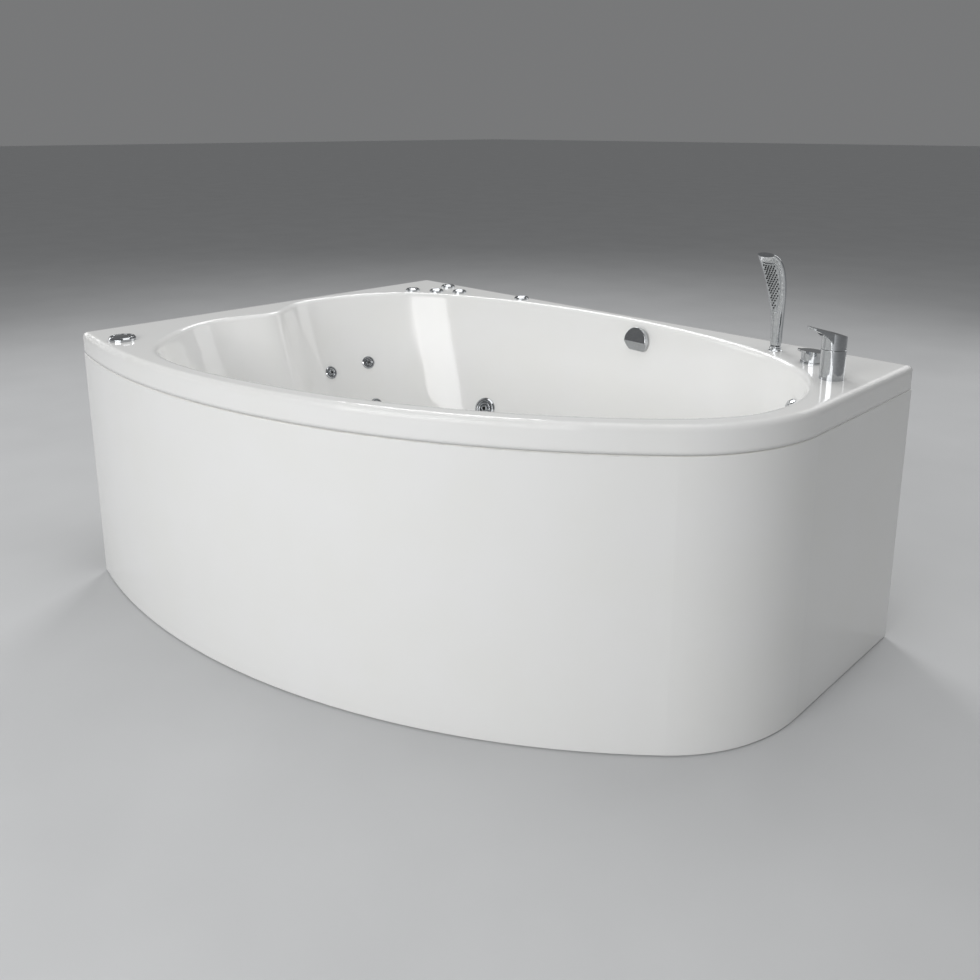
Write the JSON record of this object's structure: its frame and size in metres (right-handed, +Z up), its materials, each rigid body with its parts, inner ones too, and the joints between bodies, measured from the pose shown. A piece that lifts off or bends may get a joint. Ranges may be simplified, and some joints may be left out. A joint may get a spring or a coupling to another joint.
{
  "type": "corner massage bathtub",
  "caption": "Asymmetric white corner bath with a bowed apron, twin backrests, massage jets, deck mixer, diverter, pull-out hand shower, turning overflow and pop-up waste.",
  "frame": {"origin": "on the floor, under the middle of the plan's bounding box", "axes": "+X along the long back wall towards the taps' end, +Y towards the back wall, +Z up"},
  "size_m": [1.68, 1.2322, 0.9265],
  "materials": {
    "acrylic": "polished white cast acrylic",
    "chrome": "bright chrome plate",
    "spray_rubber": "grey silicone spray face",
    "frame_steel": "galvanised steel",
    "zinc": "zinc-plated steel",
    "pad_rubber": "black moulded rubber",
    "board": "raw particle board",
    "brass": "raw cast brass",
    "white_pvc": "white pipe plastic",
    "clear_hose": "milky soft hose",
    "pump_black": "black glass-filled plastic",
    "motor_paint": "dark grey paint"
  },
  "bodies": {
    "tub": {"air_ring": "clear_hose", "apron_clips": "frame_steel", "apron_panel": "acrylic", "back_jet_bezels": "chrome", "back_jet_bodies": "white_pvc", "base_board": "board", "control_bezels": "chrome", "control_box": "pump_black", "deck_nuts": "brass", "diverter_base": "chrome", "drain_body": "white_pvc", "drain_flange": "chrome", "filler_nozzle": "chrome", "foot_nuts": "zinc", "foot_pads": "pad_rubber", "foot_studs": "zinc", "frame_cross_rails": "frame_steel", "frame_long_rails": "frame_steel", "frame_posts": "frame_steel", "jet_bezels": "chrome", "jet_bodies": "white_pvc", "jet_hoses": "clear_hose", "main_control_bezel": "chrome", "mixer_body": "chrome", "overflow_body": "white_pvc", "overflow_pipe": "white_pvc", "pump_bracket": "frame_steel", "pump_motor": "motor_paint", "pump_wet_end": "pump_black", "shower_sleeve": "chrome", "suction_body": "white_pvc", "suction_grille": "chrome", "suction_pipe": "white_pvc", "tap_pipes": "brass", "tap_valves": "brass", "tub_shell": "acrylic", "wall_brackets": "frame_steel", "waste_trap": "white_pvc", "water_ring": "white_pvc"},
    "mixer_stem": {"mixer_stem": "zinc", "lever_pin": "zinc"},
    "hand_shower": {"hand_shower": "chrome", "spray_plate": "spray_rubber"},
    "mixer_lever": {"mixer_lever": "chrome"},
    "diverter_knob": {"diverter_knob": "chrome"},
    "hose_cone": {"hose_cone": "chrome"},
    "overflow_knob": {"overflow_knob": "chrome"},
    "drain_plug": {"drain_plug": "chrome"},
    "pump_button": {"pump_button": "chrome"},
    "blower_button": {"blower_button": "chrome"},
    "main_button": {"main_button": "chrome"},
    "air_regulator_1": {"air_regulator_1": "chrome"},
    "air_regulator_2": {"air_regulator_2": "chrome"},
    "air_regulator_3": {"air_regulator_3": "chrome"},
    "jet_nozzle_1": {"jet_nozzle_1": "chrome"},
    "jet_nozzle_2": {"jet_nozzle_2": "chrome"},
    "jet_nozzle_3": {"jet_nozzle_3": "chrome"},
    "jet_nozzle_4": {"jet_nozzle_4": "chrome"},
    "jet_nozzle_5": {"jet_nozzle_5": "chrome"},
    "jet_nozzle_6": {"jet_nozzle_6": "chrome"}
  },
  "joints": [
    {"name": "mixer_turn", "type": "hinge", "parent": "tub", "child": "mixer_stem", "pos_m": [0.759, 0.37413, 0.684], "axis": [0, 0, 1], "range_deg": [-45, 45]},
    {"name": "mixer_lift", "type": "hinge", "parent": "mixer_stem", "child": "mixer_lever", "pos_m": [0.76244, 0.37904, 0.757], "axis": [-0.8192, 0.5736, 0], "range_deg": [0, 20]},
    {"name": "diverter_turn", "type": "hinge", "parent": "tub", "child": "diverter_knob", "pos_m": [0.667, 0.47613, 0.684], "axis": [0, 0, 1], "range_deg": [-45, 45]},
    {"name": "shower_lift", "type": "slide", "parent": "tub", "child": "hose_cone", "axis": [0, 0, 1], "range_m": [0, 0.4]},
    {"name": "shower_swivel", "type": "hinge", "parent": "hose_cone", "child": "hand_shower", "pos_m": [0.547, 0.52513, 0.684], "axis": [0, 0, 1], "continuous": true},
    {"name": "overflow_turn", "type": "hinge", "parent": "tub", "child": "overflow_knob", "pos_m": [0.12195, 0.557, 0.63002], "axis": [-0.0679, -0.9784, 0.1951], "range_deg": [0, 90]},
    {"name": "plug_rise", "type": "slide", "parent": "tub", "child": "drain_plug", "axis": [0, 0, 1], "range_m": [0, 0.012]},
    {"name": "pump_button_press", "type": "slide", "parent": "tub", "child": "pump_button", "axis": [0, 0, -1], "range_m": [0, 0.003], "stiffness_N_per_m": 1500, "springref_m": -0.002},
    {"name": "blower_button_press", "type": "slide", "parent": "tub", "child": "blower_button", "axis": [0, 0, -1], "range_m": [0, 0.003], "stiffness_N_per_m": 1500, "springref_m": -0.002},
    {"name": "main_button_press", "type": "slide", "parent": "tub", "child": "main_button", "axis": [0, 0, -1], "range_m": [0, 0.003], "stiffness_N_per_m": 1500, "springref_m": -0.002},
    {"name": "air_regulator_1_turn", "type": "hinge", "parent": "tub", "child": "air_regulator_1", "pos_m": [-0.632, 0.47613, 0.684], "axis": [0, 0, 1], "range_deg": [0, 180]},
    {"name": "air_regulator_2_turn", "type": "hinge", "parent": "tub", "child": "air_regulator_2", "pos_m": [-0.567, 0.51813, 0.684], "axis": [0, 0, 1], "range_deg": [0, 180]},
    {"name": "air_regulator_3_turn", "type": "hinge", "parent": "tub", "child": "air_regulator_3", "pos_m": [-0.346, 0.57813, 0.684], "axis": [0, 0, 1], "range_deg": [0, 180]},
    {"name": "jet_1_turn", "type": "hinge", "parent": "tub", "child": "jet_nozzle_1", "pos_m": [-0.3662, 0.43727, 0.3519], "axis": [0.2819, -0.8916, 0.3543], "range_deg": [-90, 90]},
    {"name": "jet_2_turn", "type": "hinge", "parent": "tub", "child": "jet_nozzle_2", "pos_m": [0.44922, 0.43771, 0.35812], "axis": [-0.2894, -0.9141, 0.2841], "range_deg": [-90, 90]},
    {"name": "jet_3_turn", "type": "hinge", "parent": "tub", "child": "jet_nozzle_3", "pos_m": [-0.18682, -0.4572, 0.35126], "axis": [-0.1629, 0.9347, 0.3159], "range_deg": [-90, 90]},
    {"name": "jet_4_turn", "type": "hinge", "parent": "tub", "child": "jet_nozzle_4", "pos_m": [0.306, -0.28289, 0.35948], "axis": [-0.4731, 0.8348, 0.2817], "range_deg": [-90, 90]},
    {"name": "jet_5_turn", "type": "hinge", "parent": "tub", "child": "jet_nozzle_5", "pos_m": [0.68454, 0.23133, 0.34481], "axis": [-0.8974, -0.2925, 0.3304], "range_deg": [-90, 90]},
    {"name": "jet_6_turn", "type": "hinge", "parent": "tub", "child": "jet_nozzle_6", "pos_m": [0.67751, 0.05488, 0.33899], "axis": [-0.8731, 0.3441, 0.3454], "range_deg": [-90, 90]}
  ],
  "couplings": [
    {"joint": "plug_rise", "follows": "overflow_turn", "m_per_rad": 0.0076394}
  ]
}
